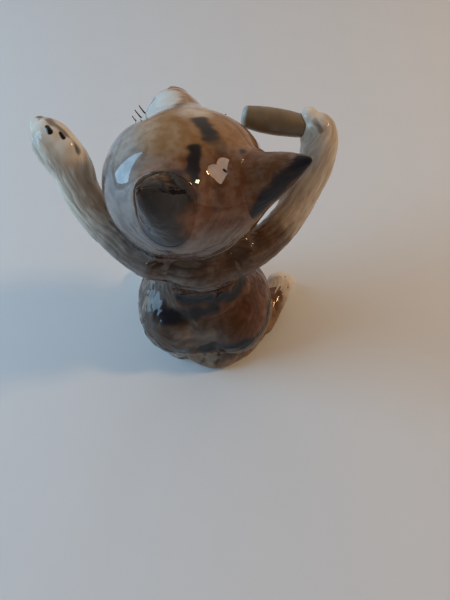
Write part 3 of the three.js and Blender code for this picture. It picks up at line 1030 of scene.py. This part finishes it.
def satin_stoneware(colours):
    """The baton: an olive wash, with painted shade that darkens its underside, and pale and bare on its end
    faces.
    """
    finish = Finish("baton_glaze")
    mottle = finish.speckle(520.0).rises(0.3, 0.7)
    streak = finish.speckle(260.0, 4.0).rises(0.3, 0.7)
    reach = finish.mark("reach")
    colour = finish.blend(streak * 0.6, tuple(colours.olive), tuple(0.55 * c for c in colours.olive))
    # Painted shade: the dark colour laid on the baton's downward-facing side.
    colour = finish.blend(finish.mark("soot").rises(0.1, 0.9), colour, tuple(colours.soot))
    ends = (0.5 - reach + 0.02 * streak).rises(0.43, 0.475)
    colour = finish.blend(ends, colour, finish.blend(mottle, (0.52, 0.58, 0.54), (0.36, 0.4, 0.39)))
    return finish.close(
        Base_Color=colour,
        Roughness=0.36 + mottle * 0.14 + ends * 0.2,
        Normal=finish.bump(streak, 0.3, 0.0001),
        Coat_Weight=0.45,
        Coat_Roughness=0.16,
    )


def bristle_finish():
    """Dark nylon, browner towards the tip."""
    finish = Finish("bristle")
    reach = finish.mark("reach")
    fleck = finish.speckle(1500.0)
    colour = finish.blend(reach * 0.6 + fleck * 0.3, (0.02, 0.015, 0.012), (0.09, 0.05, 0.03))
    relief = finish.bump(fleck, 0.2, 0.00005)
    return finish.close(Base_Color=colour, Roughness=0.3 + fleck * 0.2, Normal=relief)


# --- properties ---


def tint(name, description, colour):
    return bpy.props.FloatVectorProperty(
        name=name, description=description, default=colour, size=3, min=0, max=1, subtype="COLOR"
    )


def measure(name, description, default, unit="LENGTH"):
    return bpy.props.FloatProperty(name=name, description=description, default=default, min=0, unit=unit)


class CatGlazes(bpy.types.PropertyGroup):
    """Glaze colours."""

    umber: tint("Umber", "Ground colour of the body", (0.105, 0.062, 0.04))
    ash: tint("Ash", "Grey of the left side and the nape", (0.19, 0.165, 0.155))
    rust: tint("Rust", "Red-brown of the crown and flank", (0.13, 0.046, 0.015))
    gold: tint("Gold", "Honey colour of the forehead", (0.25, 0.118, 0.03))
    # Also the colour of the painted highlights on the right ear's tip and low on the back.
    cream: tint("Cream", "Forearms, paws and rim", (0.68, 0.6, 0.5))
    white: tint("White", "Muzzle and cheeks", (0.6, 0.6, 0.56))
    # Also the colour of the painted shade under the baton.
    soot: tint("Soot", "Bands, stripes and ear backs", (0.008, 0.009, 0.013))
    ink: tint("Ink", "Claws, mouth and eyelids", (0.006, 0.006, 0.008))
    nose: tint("Nose", "Tip of the nose", (0.36, 0.13, 0.05))
    clay: tint("Clay", "Bare clay of the chip and the underside", (0.6, 0.47, 0.4))
    olive: tint("Olive", "The baton", (0.2, 0.135, 0.07))


class CatSizes(bpy.types.PropertyGroup):
    """Sizes of the modelled detail."""

    strand_spacing: measure("Strand spacing", "Distance between combed grooves", 2.0 * MM)
    strand_depth: measure("Strand depth", "Depth of the combed grooves", 0.55 * MM)
    melt: measure("Melt", "Length over which joined pieces run into each other", 4 * MM)
    chip_depth: measure("Chip depth", "How far the bare patch lies under the glaze", 0.15 * MM)


class CatStudio(bpy.types.PropertyGroup):
    """The floor and the lights."""

    floor: tint("Floor", "Colour of the floor", (0.72, 0.72, 0.72))
    floor_size: measure("Floor size", "Side of the floor", 3.0)
    window_power: measure("Window", "Power of the cool window light", 3.5, "POWER")
    lamp_power: measure("Lamp", "Power of the warm lamp", 1.02, "POWER")
    sky: measure("Surround", "Strength of the even surrounding light", 0.54, "NONE")


# --- operators ---


def finish_piece(skin, name, node, material):
    """Makes a skin's mesh, gives it its material, and lets it stand for its CAD node."""
    piece = skin.build(name)
    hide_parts(node)
    piece.data.materials.append(material)
    return piece


def side_last(name):
    """The name with its side at the end, so that a piece and its CAD node are told apart."""
    side, rest = name.split("_", 1)
    return f"{rest}_{side}"


def shared(name, make):
    """The material of that name, made when it is first wanted."""
    return bpy.data.materials.get(name) or make()


def body_glaze(context):
    colours = context.scene.cat_glazes
    return shared("body_glaze", lambda: stoneware("body_glaze", colours, tuple(colours.umber)))


class BuildTorso(bpy.types.Operator):
    """Torso with melted haunches and shoulders, combed strands, bands of colour and a drain hole beneath"""

    bl_idname = "cat.torso"
    bl_label = "Torso"

    def execute(self, context):
        sizes = context.scene.cat_sizes
        skin = torso_skin(300, 318)
        bare = skin.marks["bare"] > 0
        haunches = [ball_field(place, HAUNCH_RADII) for place in inside("torso_casting", HAUNCHES)]
        skin.push(np.where(bare, 0, skin.melt(haunches, 0.8 * MM)))
        arms = [Limb(node).field for node in ("left_arm", "right_arm")]
        skin.push(np.where(bare, 0, skin.melt([head_field, *arms], sizes.melt)))
        feet = [Limb(node).field for node in ("left_foot", "right_foot")]
        tail = Limb("tail").field
        skin.push(np.where(bare, 0, -TAIL_BED * step(4 * MM, 0.5 * MM, tail(skin.places))))
        skin.push(np.where(bare, 0, skin.melt(feet, 1.5 * MM)))
        skin.push(np.where(bare, 0, skin.melt([tail], 0.6 * MM)))
        skin.clear_of_floor()
        paint(skin, "torso_casting", TORSO_PAINT)
        high = skin.places[:, 2] / TORSO_HEIGHT
        angle = np.arctan2(skin.places[:, 1], skin.places[:, 0])
        sag = 3 * MM * np.sin(angle)
        across = np.stack([2.4 * MM * angle, skin.places[:, 2] - sag, 0 * angle], 1)
        shoulder = step(0.73, 0.8, high)
        belly = step(0.35, 0.75, -np.sin(angle)) * step(0.9, 0.2, np.abs(np.cos(angle)))
        deep = (1 - shoulder) * comb(skin, sizes, lie=skin.hair / 1.35)
        deep += shoulder * comb(skin, sizes, lie=across)
        deep *= np.where(bare, 0, 1) * step(0.01, 0.06, high) * (1 - 0.75 * belly)
        deep *= 1 + 1.2 * step(0.2, 0.8, np.cos(angle))
        press_strands(skin, sizes, deep, 1, 1)
        skin.marks["groove"] = np.minimum(deep, 1)
        finish_piece(skin, "torso", "torso_casting", body_glaze(context))
        return {"FINISHED"}


class BuildHead(bpy.types.Operator):
    """Head with its muzzle, painted face, stripes, combed nape and a chip on the crown"""

    bl_idname = "cat.head"
    bl_label = "Head"

    def execute(self, context):
        sizes, colours = context.scene.cat_sizes, context.scene.cat_glazes
        skin = head_skin(300, 318)
        ears = [Ear(node).field for node in ("left_ear", "right_ear")]
        skin.join(ears, 1.3 * sizes.melt)
        local = to_head(skin.places) / HEAD_UNIT
        paint_head(skin)
        draw_face(skin)
        plan = np.where(local[:, 2:] > 0, local * (1, 1, 0), 99) * MM
        wander = 0.12 * noise(skin.places / (0.9 * MM))
        flat = (MM, MM, 0)
        chip = drawn(plan, [(*look, list(np.array(line) * flat)) for *look, line in CHIP]) + wander
        notch = drawn(plan, [(*look, list(np.array(line) * flat)) for *look, line in CHIP_NOTCH])
        skin.push(-sizes.chip_depth * step(0.5, -0.45, chip))
        skin.marks["chip"] = chip
        skin.marks["ink"] = np.minimum(skin.marks["ink"], notch)
        nape = step(4, 11, local[:, 1]) * step(18.5, 15, local[:, 2])
        jaw = step(-4, -9, local[:, 2]) * step(-9, -3, local[:, 1])
        ring = local - EAR_RING
        turn = 1.1 * np.arctan2(ring[:, 0], ring[:, 2])
        rings = np.stack([np.linalg.norm(ring, axis=1), turn, 0 * nape], 1) * MM
        deep = comb(skin, sizes, lie=1.25 * rings) * np.maximum(nape, jaw) * skin.marks["joint"]
        press_strands(skin, sizes, deep, 0.55, 0.75)
        rust = tuple(colours.rust)
        material = shared("head_glaze", lambda: stoneware("head_glaze", colours, rust, face=True, gloss=1.5))
        finish_piece(skin, "head", "head_casting", material)
        return {"FINISHED"}


class BuildEars(bpy.types.Operator):
    """Ears melted into the head, hollow on their outer faces"""

    bl_idname = "cat.ears"
    bl_label = "Ears"

    def execute(self, context):
        sizes, colours = context.scene.cat_sizes, context.scene.cat_glazes
        for node in ("left_ear", "right_ear"):
            skin = Ear(node).skin(150, 160)
            skin.join([head_field], 1.3 * sizes.melt)
            paint_head(skin)
            paint(skin, node, EAR_PAINT[node])
            hollow = step(0.35, 0.95, skin.marks["hollow"])
            for mark in ("soot", "white", "ash"):
                skin.marks[mark] = skin.marks[mark] * (1 - hollow)
            skin.marks["gold"] = np.maximum(skin.marks["gold"], 0.8 * hollow)
            skin.marks["cream"] = np.maximum(skin.marks["cream"], 0.35 * step(0.6, 1, hollow))
            deep = comb(skin, sizes) * skin.marks["joint"] * 0.6
            press_strands(skin, sizes, deep, 0.6, 0.7)
            material = shared("ear_glaze", lambda: stoneware("ear_glaze", colours, tuple(colours.rust)))
            finish_piece(skin, side_last(node), node, material)
        return {"FINISHED"}


class BuildLimbs(bpy.types.Operator):
    """Arms and feet with toes, claws and fur that runs along them"""

    bl_idname = "cat.limbs"
    bl_label = "Arms and feet"

    def execute(self, context):
        sizes = context.scene.cat_sizes
        for node in ("left_arm", "right_arm", "left_foot", "right_foot"):
            limb = Limb(node)
            arm = node.endswith("arm")
            skin = limb.skin(260 if arm else 150, 150)
            centres, radius = TOES[node]
            balls = [ball_field(place, radius * MM) for place in inside(node, centres)]
            skin.push(skin.melt(balls, 1.1 * MM))
            neighbours = [torso_field, head_field] if arm else [torso_field]
            skin.join(neighbours, sizes.melt if arm else 1.5 * MM)
            if not arm:
                skin.clear_of_floor()
            strokes = dict(LIMB_PAINT[node])
            turns, ink = strokes.pop("cream"), strokes.pop("ink")
            paint(skin, node, strokes)
            skin.marks["cream"] = step(*turns, skin.marks["reach"] + 0.05 * noise(skin.places / (3 * MM)))
            skin.marks["ink"] = drawn(skin.places, [(a, b, list(inside(node, line))) for a, b, line in ink])
            skin.push(0.25 * MM * step(0.1, -0.4, skin.marks["ink"]))
            toes = np.min([field(skin.places) for field in balls], axis=0)
            deep = comb(skin, sizes) * skin.marks["joint"] * step(0, 2.5 * MM, toes)
            press_strands(skin, sizes, deep, 0.7, 0.8)
            finish_piece(skin, side_last(node), node, body_glaze(context))
        return {"FINISHED"}


class BuildTail(bpy.types.Operator):
    """Tail laid round the base, with broken dark rings"""

    bl_idname = "cat.tail"
    bl_label = "Tail"

    def execute(self, context):
        sizes = context.scene.cat_sizes
        skin = Limb("tail").skin(260, 120)
        skin.join([lambda points: torso_field(points) + 1.5 * MM], 0.6 * MM)
        skin.clear_of_floor()
        rings = np.sin(2 * np.pi * 8 * skin.marks["reach"] + 2.5 * noise(skin.places / (4 * MM)))
        patches = noise(skin.places / (1.7 * MM) + 11)
        streaks = noise(skin.hair / (1.3 * MM) + 5)
        skin.marks["soot"] = 0.62 * step(-0.3, 1.6, rings + 0.5 * patches + 1.1 * streaks)
        skin.marks["gold"] = np.full(len(skin.places), 0.4)
        skin.marks["ash"] = 0.5 + 0.4 * streaks
        skin.marks["cream"] = 0.22 + 0.3 * noise(skin.places / (5 * MM))
        deep = comb(skin, sizes) * skin.marks["joint"]
        press_strands(skin, sizes, deep, 0.6, 0.8)
        finish_piece(skin, "tail_curl", "tail", body_glaze(context))
        return {"FINISHED"}


class BuildBaton(bpy.types.Operator):
    """The short thick baton that the right paw holds"""

    bl_idname = "cat.baton"
    bl_label = "Baton"

    def execute(self, context):
        rise, angle = rows_and_columns(120, 96)
        ends = inside("baton", BATON_ENDS)
        run = ends[1] - ends[0]
        length = np.linalg.norm(run)
        tangent = run / length
        s = crowded(rise, BATON_CROWDING)
        cap = np.minimum(1, (0.5 - np.abs(s - 0.5)) * length / BATON_CAP)
        belly = 0.92 + 0.1 * np.sin(np.pi * s)
        radius = along(BATON_RADII, s) * MM * belly * (1 - (1 - cap) ** 3) ** 0.35
        side = unit(np.cross([0, 0, 1.0], tangent))
        over = np.cross(tangent, side)
        radial = around_axis(side, over, angle)
        places = ends[0] + run * s[..., None] + radial * radius[..., None]
        skin = Skin(places, radial, places)
        skin.push(0.05 * MM * noise(skin.places / (2.2 * MM)))
        skin.marks["reach"] = s.reshape(-1)
        # Painted shade: faces that turn downwards are darkened, more the further they turn.
        under = -radial.reshape(-1, 3)[:, 2] + 0.3 * noise(skin.places / (2 * MM))
        skin.marks["soot"] = 0.8 * step(0.2, 0.95, under)
        finish_piece(skin, "baton", "baton", satin_stoneware(context.scene.cat_glazes))
        return {"FINISHED"}


class BuildWhiskers(bpy.types.Operator):
    """Short curled bristles set in the muzzle, three a side"""

    bl_idname = "cat.whiskers"
    bl_label = "Whiskers"

    def execute(self, context):
        material = bristle_finish()
        for family, (sign, roots) in BRISTLES.items():
            for number, (left, up) in enumerate(roots, 1):
                name = f"{family}_{number}"
                out = facing(left, up)
                start = out * (head_radius(out[None])[0] - WHISKER_SINK)
                aim = facing(left + WHISKER_LEAN[0] * sign, up + WHISKER_LEAN[1])
                bow = unit(np.cross(np.cross(aim, [0, 0, 1.0]), aim))
                rise, angle = rows_and_columns(40, 10)
                t = crowded(rise, WHISKER_CROWDING)
                curl = WHISKER_CURL * (t**2 - 0.45 * t) * (0.7 + 0.3 * number)
                centre = start + aim * (WHISKER_LENGTH * t)[..., None] + bow * curl[..., None]
                side = unit(np.cross(bow, aim))
                radial = around_axis(side, -bow, angle)
                close = np.minimum(1, np.minimum(rise, 1 - rise) / 0.06)
                radius = WHISKER_RADIUS * (1 - 0.55 * t) * np.sqrt(1 - (1 - close) ** 2)
                local = centre + radial * radius[..., None]
                places = from_head(local)
                skin = Skin(places, radial @ HEAD_TURN.T, places)
                skin.marks["reach"] = t.reshape(-1)
                finish_piece(skin, name, name, material)
        return {"FINISHED"}


def area_light(name, power, direction, size, colour):
    """A rectangular light in a direction from the middle of the object, turned to face it."""
    light = bpy.data.lights.new(name, "AREA")
    light.shape, light.size, light.size_y = "RECTANGLE", *size
    light.energy, light.color = power, colour
    lamp = bpy.data.objects.new(name, light)
    middle = (np.array(CAD_BOX[0]) + CAD_BOX[1]) / 2
    aim = unit(np.array(direction, float))
    lamp.location = middle + aim * LIGHT_DISTANCE
    lamp.rotation_euler = (math.acos(aim[2]), 0, math.atan2(aim[0], -aim[1]))
    bpy.context.scene.collection.objects.link(lamp)


class BuildStage(bpy.types.Operator):
    """Floor, lights, surround and camera"""

    bl_idname = "cat.stage"
    bl_label = "Stage"

    def execute(self, context):
        studio, scene = context.scene.cat_studio, context.scene
        half = studio.floor_size / 2
        floor = bpy.data.meshes.new("floor")
        corners = [(x, y, -0.0001) for x, y in ((-half, -half), (half, -half), (half, half), (-half, half))]
        floor.from_pydata(corners, [], [(0, 1, 2, 3)])
        plane = bpy.data.objects.new("floor", floor)
        scene.collection.objects.link(plane)
        finish = Finish("floor_paper")
        grain = finish.speckle(60.0, 4.0)
        colour = finish.blend(grain, tuple(studio.floor), tuple(0.96 * c for c in studio.floor))
        floor.materials.append(finish.close(Base_Color=colour, Roughness=0.7 + grain * 0.1))
        area_light("window", studio.window_power, **WINDOW)
        area_light("lamp", studio.lamp_power, **LAMP)
        surround = Finish("surround", "worlds")
        overhead = {0: surround.object, 1: (0.0, 0.5, 0.866)}
        behind = surround.node("ShaderNodeVectorMath", {"operation": "DOT_PRODUCT"}, overhead, "Value")
        dimmed = studio.sky * (1 - 0.72 * behind.rises(0.3, 0.8))
        glow = surround.node("ShaderNodeBackground", {}, {"Color": SURROUND_COLOUR, "Strength": dimmed})
        surround.node("ShaderNodeOutputWorld", {}, {"Surface": glow})
        scene.world = surround.material
        scene.view_settings.view_transform = "Standard"
        lens = bpy.data.cameras.new("camera")
        lens.lens, lens.sensor_width, lens.clip_start = CAMERA_LENS, 36, 0.005
        camera = bpy.data.objects.new("camera", lens)
        camera.location = CAMERA_PLACE
        camera.rotation_euler = (CAMERA_TILT, 0, math.pi)
        scene.collection.objects.link(camera)
        scene.camera = camera
        return {"FINISHED"}


OPERATORS = (BuildStage, BuildTorso, BuildHead, BuildEars, BuildLimbs, BuildTail, BuildBaton, BuildWhiskers)


class CatPanel(bpy.types.Panel):
    """Buttons for each group of pieces, and their settings"""

    bl_idname = "CAT_PT_pieces"
    bl_label = "Ceramic cat"
    bl_space_type = "VIEW_3D"
    bl_region_type = "UI"
    bl_category = "Cat"

    def draw(self, context):
        for group in (context.scene.cat_sizes, context.scene.cat_glazes, context.scene.cat_studio):
            column = self.layout.column(align=True)
            for name in group.bl_rna.properties.keys():
                if name not in ("rna_type", "name"):
                    column.prop(group, name)
        for operator in OPERATORS:
            self.layout.operator(operator.bl_idname)


GROUPS = {"cat_sizes": CatSizes, "cat_glazes": CatGlazes, "cat_studio": CatStudio}


def register():
    for group in GROUPS.values():
        bpy.utils.register_class(group)
    for name, group in GROUPS.items():
        setattr(bpy.types.Scene, name, bpy.props.PointerProperty(type=group))
    for part in (*OPERATORS, CatPanel):
        bpy.utils.register_class(part)


def unregister():
    for part in (CatPanel, *reversed(OPERATORS)):
        bpy.utils.unregister_class(part)
    for name in GROUPS:
        delattr(bpy.types.Scene, name)
    for group in reversed(GROUPS.values()):
        bpy.utils.unregister_class(group)


def main():
    """Builds every piece and the stage."""
    register()
    for operator in OPERATORS:
        family, action = operator.bl_idname.split(".")
        getattr(getattr(bpy.ops, family), action)()


if __name__ == "__main__":
    main()
